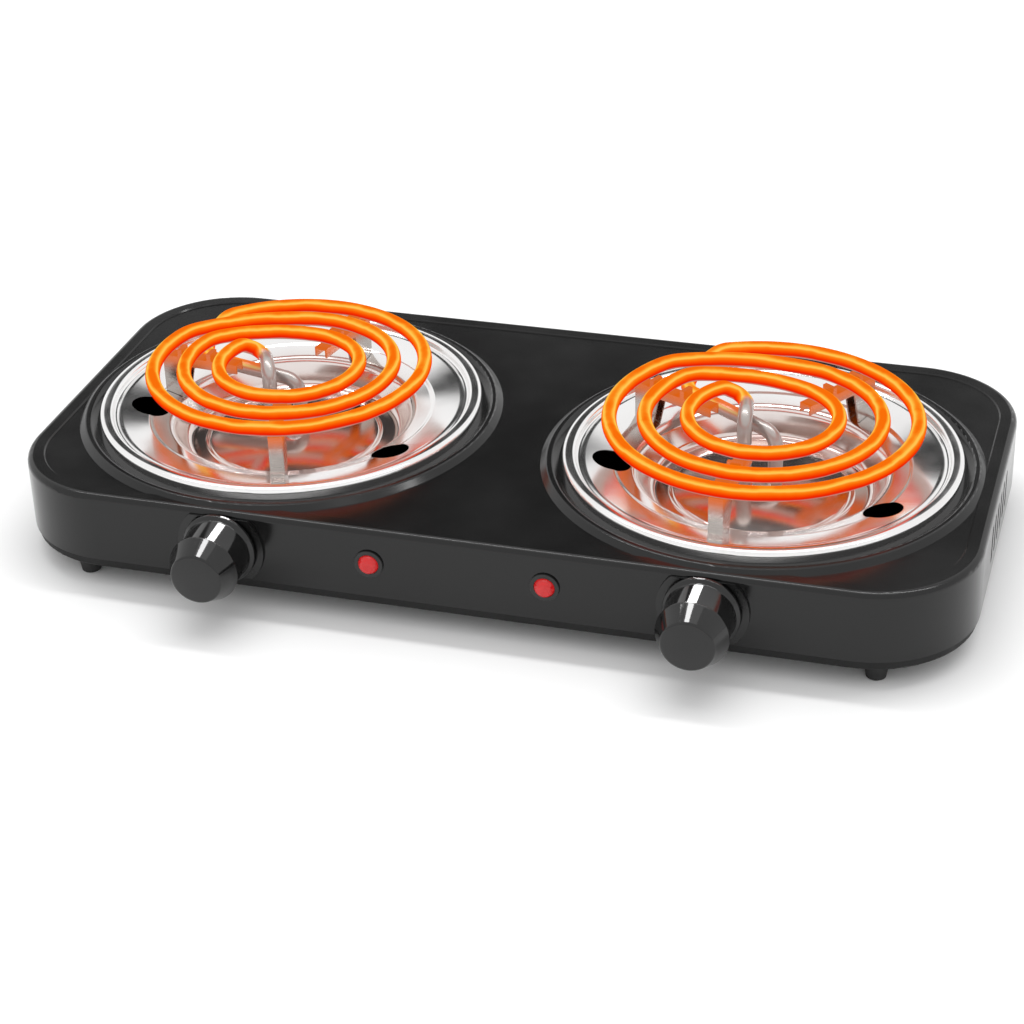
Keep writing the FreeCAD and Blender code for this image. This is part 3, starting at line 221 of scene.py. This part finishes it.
def lathe(name, corners, base, axis, segments, second=None):
    """A closed outline turned about an axis through base. Corners are millimetres: radius, then distance along
    the axis, then any rounding. Faces whose outline points pass the test second get the second material."""
    outline = rounded(corners)
    shape = bmesh.new()
    rings = []
    for step in range(segments):
        turn = WHOLE_TURN * step / segments
        ring = []
        for point in outline:
            across, aside = point.x * math.cos(turn), point.x * math.sin(turn)
            offset = (across, aside, point.y) if axis == "Z" else (across, point.y, aside)
            ring.append(shape.verts.new(base + Vector(offset) * MM))
        rings.append(ring)
    count = len(outline)
    for step in range(segments):
        here, there = rings[step], rings[(step + 1) % segments]
        for i in range(count):
            k = (i + 1) % count
            face = shape.faces.new((here[i], here[k], there[k], there[i]))
            if second and second(outline[i]) and second(outline[k]):
                face.material_index = 1
    bmesh.ops.remove_doubles(shape, verts=shape.verts, dist=SAME_POINT)
    bmesh.ops.dissolve_degenerate(shape, edges=shape.edges, dist=NO_LENGTH)
    bmesh.ops.recalc_face_normals(shape, faces=shape.faces)
    mesh = bpy.data.meshes.new(name)
    shape.to_mesh(mesh)
    shape.free()
    smooth(mesh)
    return place(name, mesh)


def bore_holes(piece, holes, base, low, high):
    """Cut upright round holes through a piece: each (x, y, radius), low and high in millimetres from base."""
    shape = bmesh.new()
    for x, y, radius in holes:
        centre = base + Vector((x, y, (low + high) / 2)) * MM
        bmesh.ops.create_cone(shape, cap_ends=True, segments=HOLE_SEGMENTS, radius1=radius * MM,
                              radius2=radius * MM, depth=(high - low) * MM, matrix=Matrix.Translation(centre))
    mesh = bpy.data.meshes.new("cutter")
    shape.to_mesh(mesh)
    shape.free()
    cutter = place("cutter", mesh)
    cut = piece.modifiers.new("holes", "BOOLEAN")
    cut.operation, cut.solver, cut.object = "DIFFERENCE", "EXACT", cutter
    result = bpy.data.meshes.new_from_object(piece.evaluated_get(bpy.context.evaluated_depsgraph_get()))
    piece.modifiers.clear()
    piece.data = result
    bpy.data.objects.remove(cutter)
    smooth(result)


def stand_in(piece, node, body, slot, *materials):
    """A finer piece takes a CAD node's place on the same body."""
    paint(piece, *materials)
    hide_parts(node)
    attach(piece, body)


# ---------------------------------------------------------------- materials
STEEL_GRAIN = (60.0, 60.0, 900.0)
# Where the pan's pinkish well tint ends: radii from the burner's middle. The tint is partly heat tint on the chrome
# and partly a painted reflection of the coils' red glow.
HEAT_AND_GLOW_TINT_RADII = (0.052, 0.075)
SPIN_MARKS = 2400.0
# The element is cold inside these radii and below these heights.
COLD_RADII = (0.027, 0.032)
TUBE_GLOW_HEIGHTS = (0.058, 0.064)
# The supports carry a painted glow above these heights, up to this share of the surface: emission that stands in for
# the coils' orange light reflected on the steel.
SUPPORT_PAINTED_GLOW_HEIGHTS = (0.058, 0.0705)
SUPPORT_PAINTED_GLOW_SHARE = 0.82
GLOW_UNEVENNESS = 0.04
# The glow by how far the surface faces up: 0 is straight down, 0.5 is sideways, 1 is straight up. These colours carry
# painted shading: painted red shade on the underside and a painted yellow highlight on the upper side.
TUBE_GLOW_WITH_PAINTED_SHADING = ((0.0, (0.46, 0.33, 0.29)), (0.17, (0.52, 0.24, 0.19)), (0.28, (0.72, 0.012, 0.002)),
             (0.44, (0.92, 0.03, 0.0)), (0.60, (0.96, 0.10, 0.001)), (0.76, (0.99, 0.23, 0.006)),
             (0.85, (1.0, 0.60, 0.10)), (0.90, (1.0, 0.52, 0.06)), (0.96, (0.97, 0.25, 0.01)),
             (1.0, (0.95, 0.16, 0.003)))
# name: low colour, high colour, low roughness, high roughness
STEELS = {
    "support_steel": ((0.42, 0.38, 0.35), (0.56, 0.52, 0.49), 0.16, 0.3),
    "fixing_steel": ((0.50, 0.50, 0.51), (0.62, 0.62, 0.63), 0.2, 0.34),
    "bimetal": ((0.55, 0.45, 0.32), (0.66, 0.56, 0.42), 0.25, 0.4),
}
# name: low colour, high colour, low roughness, high roughness, how fine the unevenness is
PLASTICS = {
    "knob_plastic": ((0.004,) * 3, (0.007,) * 3, 0.06, 0.1, 80.0),
    "knob_face": ((0.006,) * 3, (0.009,) * 3, 0.34, 0.4, 200.0),
    "bezel_plastic": ((0.0025,) * 3, (0.004,) * 3, 0.2, 0.3, 80.0),
    "holder_plastic": ((0.006,) * 3, (0.01,) * 3, 0.3, 0.42, 80.0),
    "foot_rubber": ((0.012,) * 3, (0.02,) * 3, 0.6, 0.8, 150.0),
    "ceramic": ((0.62, 0.59, 0.52), (0.74, 0.71, 0.64), 0.5, 0.7, 120.0),
    "terminal_plastic": ((0.60, 0.60, 0.57), (0.68, 0.68, 0.65), 0.35, 0.5, 80.0),
    "live_insulation": ((0.10, 0.035, 0.02), (0.14, 0.05, 0.03), 0.45, 0.6, 80.0),
    "neutral_insulation": ((0.58, 0.58, 0.56), (0.68, 0.68, 0.66), 0.45, 0.6, 80.0),
    "earth_insulation": ((0.12, 0.32, 0.03), (0.55, 0.55, 0.04), 0.45, 0.6, 260.0),
}


def black_enamel():
    """Satin black stoved enamel: a faint orange peel and slightly uneven gloss."""
    material, tree, shader = new_material("black_enamel", Specular_IOR_Level=0.42)
    vary(tree, shader, "Base Color", noise(tree, 9.0, 3.0), (0.003,) * 3, (0.0042,) * 3)
    vary(tree, shader, "Roughness", noise(tree, 30.0, 4.0), 0.15, 0.19)
    add_bump(tree, shader, noise(tree, 900.0, 2.0), 0.00002, 0.5)
    return material


def tray_paint():
    """The tray's dull black paint."""
    material, tree, shader = new_material("tray_paint", Specular_IOR_Level=0.3)
    vary(tree, shader, "Base Color", noise(tree, 40.0, 4.0), (0.004,) * 3, (0.007,) * 3)
    vary(tree, shader, "Roughness", noise(tree, 60.0, 3.0), 0.45, 0.6)
    add_bump(tree, shader, noise(tree, 1500.0, 2.0), 0.00002, 0.4)
    return material


def pan_chrome(centre, name):
    """Chrome plate with a pinkish tint in the well, partly heat tint and partly a painted reflection of the coils'
    red glow, with the faint circular marks of spinning.
    """
    material, tree, shader = new_material(name, Metallic=1.0)
    out = radius_about(tree, centre)
    # The well under the coils is painted pinkish: partly heat tint, partly a painted reflection of their red glow.
    heat_and_glow_tint = ramp(tree, between(tree, out, *HEAT_AND_GLOW_TINT_RADII), [(0.0, (0.80, 0.70, 0.66)), (1.0, (0.93, 0.925, 0.92))])
    cloud = spread(tree, noise(tree, 25.0, 3.0), (0.94, 0.93, 0.93), (1.0, 1.0, 1.0))
    mixed = add(tree, "Mix", {0: 1.0, 6: heat_and_glow_tint, 7: cloud}, data_type="RGBA", blend_type="MULTIPLY")
    tree.links.new(mixed.outputs[2], shader.inputs["Base Color"])
    vary(tree, shader, "Roughness", noise(tree, 55.0, 5.0), 0.09, 0.15)
    marks = add(tree, "CombineXYZ", {"X": maths(tree, "MULTIPLY", out, SPIN_MARKS)}).outputs["Vector"]
    add_bump(tree, shader, noise(tree, 1.0, 2.0, marks), 0.000006, 0.35)
    return material


def steel(name, low, high, rough_low, rough_high):
    """Rolled or plated steel with a fine grain."""
    material, tree, shader = new_material(name, Metallic=1.0)
    stretched = add(tree, "VectorMath", {0: place_coords(tree), 1: STEEL_GRAIN}, operation="MULTIPLY")
    lines = noise(tree, 1.0, 4.0, stretched.outputs["Vector"])
    vary(tree, shader, "Base Color", noise(tree, 60.0, 3.0), low, high)
    vary(tree, shader, "Roughness", lines, rough_low, rough_high)
    add_bump(tree, shader, lines, 0.00001, 0.5)
    return material


def support_steel(name):
    """The supports' steel, with a painted glow where it holds the hot tubes: emission that stands in for the coils'
    orange light reflected on it.
    """
    material = steel(name, *STEELS[name])
    tree = material.node_tree
    height = height_of(tree)
    # Painted glow: the coils' orange light on the steel, painted as emission that grows with height.
    glow_with_painted_light = ramp(tree, between(tree, height, *SUPPORT_PAINTED_GLOW_HEIGHTS), [(0.0, (0.16, 0.02, 0.01)),
                                                                     (1.0, (0.80, 0.14, 0.005))])
    share = between(tree, height, *SUPPORT_PAINTED_GLOW_HEIGHTS, 0.0, SUPPORT_PAINTED_GLOW_SHARE)
    glow_over(tree, tree.nodes["Principled BSDF"], glow_with_painted_light, share)
    return material


def plastic(name, low, high, rough_low, rough_high, scale):
    """Moulded plastic, rubber or ceramic with a slightly uneven surface."""
    material, tree, shader = new_material(name)
    vary(tree, shader, "Base Color", noise(tree, scale, 3.0), low, high)
    vary(tree, shader, "Roughness", noise(tree, scale * 1.7, 3.0), rough_low, rough_high)
    add_bump(tree, shader, noise(tree, scale * 14, 2.0), 0.00002, 0.4)
    return material


def glowing_tube(side):
    """A hot sheathed tube whose glow carries painted shading: a painted yellow highlight on top, orange at the sides,
    painted red shade below, with cold ends near the middle.
    """
    centre = middle(side + "_drip_pan")
    material, tree, shader = new_material(side + "_glowing_tube", Metallic=0.6, Roughness=0.3)
    up = add(tree, "SeparateXYZ", {0: add(tree, "NewGeometry").outputs["Normal"]}).outputs["Z"]
    uneven = noise(tree, 55.0, 3.0)
    facing = maths(tree, "MULTIPLY", maths(tree, "ADD", up, 1.0), 0.5)
    stir = between(tree, uneven, NOISE_LOW, NOISE_HIGH, -GLOW_UNEVENNESS, GLOW_UNEVENNESS)
    # The glow's colour follows how the surface faces up, which paints a highlight above and shade below.
    glow_with_painted_light = ramp(tree, maths(tree, "ADD", facing, stir), TUBE_GLOW_WITH_PAINTED_SHADING)
    out = between(tree, radius_about(tree, centre), *COLD_RADII)
    above = between(tree, height_of(tree), *TUBE_GLOW_HEIGHTS)
    vary(tree, shader, "Base Color", uneven, (0.40, 0.37, 0.35), (0.50, 0.47, 0.45))
    glow_over(tree, shader, glow_with_painted_light, maths(tree, "MULTIPLY", out, above))
    return material


def red_lens():
    """Tinted red plastic with the lamp lit behind it."""
    material, tree, shader = new_material("red_lens", Roughness=0.12, Transmission_Weight=0.35, IOR=1.5)
    vary(tree, shader, "Base Color", noise(tree, 200.0, 2.0), (0.50, 0.010, 0.012), (0.62, 0.018, 0.020))
    shader.inputs["Emission Color"].default_value = (1.0, 0.03, 0.03, 1.0)
    shader.inputs["Emission Strength"].default_value = 0.12
    return material


def clear_glass():
    """The bulbs' glass, slightly orange from the gas inside."""
    material, tree, shader = new_material("lamp_glass", Transmission_Weight=1.0, IOR=1.45)
    vary(tree, shader, "Base Color", noise(tree, 300.0), (0.95, 0.85, 0.8), (1.0, 0.95, 0.9))
    vary(tree, shader, "Roughness", noise(tree, 400.0), 0.03, 0.08)
    return material


def dress_nodes():
    """Every CAD node that stays gets the material of what it is made of."""
    looks = {"black_enamel": black_enamel(), "zinc_steel": tray_paint(), "red_lens": red_lens(),
             "lamp_glass": clear_glass(), "support_steel": support_steel("support_steel")}
    for name in ("fixing_steel", "bimetal"):
        looks[name] = steel(name, *STEELS[name])
    for name, values in PLASTICS.items():
        looks[name] = plastic(name, *values)
    for side in SIDES:
        looks[side + "_pan_chrome"] = pan_chrome(middle(side + "_drip_pan"), side + "_pan_chrome")
        looks[side + "_glowing_element"] = glowing_tube(side)
    for part in frame["record"]["subparts"]:
        look = part["material_slot"]
        side = part["node"].split("_")[0]
        paint(NODES[part["node"]], looks.get(look) or looks[side + "_" + look])
    return looks


# ---------------------------------------------------------------- finer pieces
# All in millimetres and degrees. Heights on a pan are measured from the top of its rim.
COIL_TURN = {"left": 15.0, "right": -5.0}
TUBE_HOLE, TUBE_HOLES = 4.0, ((19.0, 85.0), (16.0, 140.0))
PAN_HOLE, PAN_HOLE_INSET, PAN_HOLE_BEARINGS = 9.5, 24.5, (194.0, 332.0)
PAN_STEEL, PAN_FLOOR_STEP, PAN_SCREW_HOLE = 0.6, 1.0, 2.7
PAN_SEGMENTS, KNOB_SEGMENTS, LENS_SEGMENTS = 256, 160, 96
CUT_BELOW, CUT_ABOVE = 4, 3
# Radius and distance behind the tip of the face, then any rounding.
KNOB_OUTLINE = [(0, 0), (6.5, 0.22, 5.0), (12.0, 1.0, 1.2), (12.8, 1.5, 0.5), (17.1, 10.6, 0.5),
                (17.4, 11.2, 0.4), (17.4, 11.8, 0.3), (15.8, 12.4, 0.4), (16.6, 28.6, 0.8), (18.5, 30.0, 0.5),
                (18.5, 31.8, 0.6), (9.5, 31.8), (9.5, 25.3), (3.05, 25.3), (3.05, 11.0), (0, 11.0)]
KNOB_FACE_DEPTH, KNOB_FACE_RADIUS = 1.25, 12.5
LENS_OUTLINE = [(0, 0), (3.4, 0.3, 3.0), (5.1, 2.6, 1.6), (5.1, 14.8), (4.3, 14.8), (4.3, 4.0), (0, 4.0)]


def front_tip(node):
    """The middle of a node's front."""
    low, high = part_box(node)
    return Vector(((low.x + high.x) / 2, low.y, (low.z + high.z) / 2))


def around(radius, angle):
    return radius * math.cos(math.radians(angle)), radius * math.sin(math.radians(angle))


def make_pan(side, looks):
    """The drip pan: rolled rim, groove, shallow flank, deep well and stepped floor, with its holes."""
    node = side + "_drip_pan"
    low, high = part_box(node)
    top = Vector(((low.x + high.x) / 2, (low.y + high.y) / 2, high.z))
    edge = (high.x - low.x) / 2 / MM
    floor = (low.z - high.z) / MM + PAN_STEEL
    step = floor + PAN_FLOOR_STEP
    above = [(PAN_SCREW_HOLE, step + PAN_STEEL), (44, step + PAN_STEEL, 1.2), (45.6, floor, 1.2), (55, floor, 3.5),
             (62, -9.6, 3.5), (72, -7.0, 2.0), (73.5, -6.1, 1.5), (88, -2.8, 1.4), (edge - 7.5, -3.4, 1.2),
             (edge - 6.3, 0, 2.4), (edge, 0, 3.2), (edge, -6.6)]
    below = [(edge - PAN_STEEL, -6.6), (edge - PAN_STEEL, -PAN_STEEL, 2.6), (edge - 5.7, -PAN_STEEL, 1.8),
             (edge - 6.9, -4.0, 1.2), (88, -3.4, 1.4), (73.7, -6.7, 1.5), (72.2, -7.6, 2.0), (62.6, -10.2, 3.5),
             (55.6, floor - PAN_STEEL, 3.5), (45.3, floor - PAN_STEEL), (43.7, step), (PAN_SCREW_HOLE, step)]
    pan = lathe(side + "_chrome_pan", above + below, top, "Z", PAN_SEGMENTS)
    holes = [(*around(edge - PAN_HOLE_INSET, angle), PAN_HOLE) for angle in PAN_HOLE_BEARINGS]
    holes += [(*around(radius, angle + COIL_TURN[side]), TUBE_HOLE) for radius, angle in TUBE_HOLES]
    bore_holes(pan, holes, top, floor - CUT_BELOW, CUT_ABOVE)
    stand_in(pan, node, BODY, "pan_chrome", looks[side + "_pan_chrome"])


def make_knob(side, looks):
    """The turned knob: glossy body, thin lip, chamfered nose and a slightly domed matt face."""
    node = side + "_knob"
    knob = lathe(side + "_turned_knob", KNOB_OUTLINE, front_tip(node), "Y", KNOB_SEGMENTS,
                 second=lambda point: point.y < KNOB_FACE_DEPTH and point.x < KNOB_FACE_RADIUS)
    stand_in(knob, node, side + "_control", "knob_plastic", looks["knob_plastic"], looks["knob_face"])
    return knob


def make_lens(side, looks):
    """The lamp's red lens: a low dome with a rounded shoulder and a hollow tail."""
    node = side + "_lamp_lens"
    lens = lathe(side + "_domed_lens", LENS_OUTLINE, front_tip(node), "Y", LENS_SEGMENTS)
    stand_in(lens, node, BODY, "red_lens", looks["red_lens"])


# ---------------------------------------------------------------- floor, light and camera
# A dark flag in the room behind, so that the flat black top doesn't mirror the white surroundings.
FLAG_BEARING, FLAG_HALF_WIDTH = math.radians(-18.5), math.radians(17.0)
FLAG_RISE, FLAG_HALF_HEIGHT = math.sin(math.radians(29.0)), 0.085
FLAG_INSIDE, FLAG_OUTSIDE, FLAG_BRIGHTNESS = 0.75, 1.7, 0.04
# Places of lights and eye are measured from the middle of the housing, on the floor.
# Lights: name, place, width, height, watts.
ROOM_LIGHTS = (("overhead", (0.0, 0.0, 2.2), 1.7, 1.1, 4.0),
               ("edge_strip", (0.0, 0.35, 2.0), 2.8, 0.16, 17.0))
# These two reach the knobs alone and give them their streaks.
KNOB_LIGHTS = (("body_strip", (-0.21, 0.97, 0.84), 0.40, 0.75, 24.0),
               ("nose_strip", (-0.22, -0.02, 1.48), 0.34, 0.34, 7.0))
BETWEEN_KNOBS = (0.0, -0.13, 0.03)
FLOOR_SIZE, FLOOR_GAP = 9.0, 0.0002
EYE = (0.3216, -1.05681, 0.6454)
YAW, PITCH, ROLL = math.radians(17.295), math.radians(30.205), math.radians(-1.803)
LENS_MM, SENSOR_MM, SIGHT = 87.0, 36.0, 20.0


def make_floor():
    bpy.ops.mesh.primitive_plane_add(size=FLOOR_SIZE, location=(0.0, 0.0, CAD_BOX[0][2] - FLOOR_GAP))
    floor = bpy.context.object
    floor.name = "floor"
    material, tree, shader = new_material("floor_paper", Roughness=0.9, Specular_IOR_Level=0.1)
    vary(tree, shader, "Base Color", noise(tree, 3.0, 2.0), (0.90, 0.90, 0.90), (0.91, 0.91, 0.91))
    floor.data.materials.append(material)


def area_light(name, way, width, height, watts, aim=(0.0, 0.0, 0.0)):
    """A rectangular light; its place and aim are measured from the middle of the housing."""
    light = bpy.data.lights.new(name, "AREA")
    light.shape = "RECTANGLE"
    light.size = width
    light.size_y = height
    light.energy = watts
    lamp = place(name, light)
    lamp.location = CENTRE + Vector(way)
    lamp.rotation_euler = (Vector(aim) - Vector(way)).to_track_quat("-Z", "Y").to_euler()
    return lamp


def light_room(knobs):
    """A white room with a dark flag, two lights for everything and two for the knobs alone."""
    world = bpy.data.worlds.new("room")
    bpy.context.scene.world = world
    world.use_nodes = True
    tree = world.node_tree
    background = tree.nodes["Background"]
    towards = add(tree, "SeparateXYZ", {0: add(tree, "TexCoord").outputs["Generated"]}).outputs
    sky = ramp(tree, towards["Z"], [(0.0, 1.0), (0.15, 1.0), (1.0, 0.97)])
    bearing = maths(tree, "ARCTAN2", towards["X"], towards["Y"])
    aside = maths(tree, "DIVIDE", maths(tree, "SUBTRACT", bearing, FLAG_BEARING), FLAG_HALF_WIDTH)
    aloft = maths(tree, "DIVIDE", maths(tree, "SUBTRACT", towards["Z"], FLAG_RISE), FLAG_HALF_HEIGHT)
    square = maths(tree, "ADD", maths(tree, "MULTIPLY", aside, aside), maths(tree, "MULTIPLY", aloft, aloft))
    shaded = between(tree, square, FLAG_INSIDE, FLAG_OUTSIDE, FLAG_BRIGHTNESS, 1.0)
    tree.links.new(sky, background.inputs["Color"])
    tree.links.new(shaded, background.inputs["Strength"])
    for values in ROOM_LIGHTS:
        area_light(*values)
    for values in KNOB_LIGHTS:
        area_light(*values, aim=BETWEEN_KNOBS).light_linking.receiver_collection = knobs


def make_camera():
    """Seen from the front right and above, with a slight roll."""
    camera = bpy.data.cameras.new("camera")
    camera.lens = LENS_MM
    camera.sensor_width = SENSOR_MM
    camera.clip_end = SIGHT
    eye = place("camera", camera)
    turn = Matrix.Rotation(YAW, 4, "Z") @ Matrix.Rotation(math.pi / 2 - PITCH, 4, "X") @ Matrix.Rotation(ROLL, 4, "Z")
    eye.matrix_world = Matrix.Translation(CENTRE + Vector(EYE)) @ turn
    bpy.context.scene.camera = eye


bpy.context.scene.view_settings.view_transform = "Standard"
make_camera()
turned = bpy.data.collections.new("turned_knobs")
light_room(turned)
make_floor()
finishes = dress_nodes()
for one in SIDES:
    make_pan(one, finishes)
    turned.objects.link(make_knob(one, finishes))
    make_lens(one, finishes)
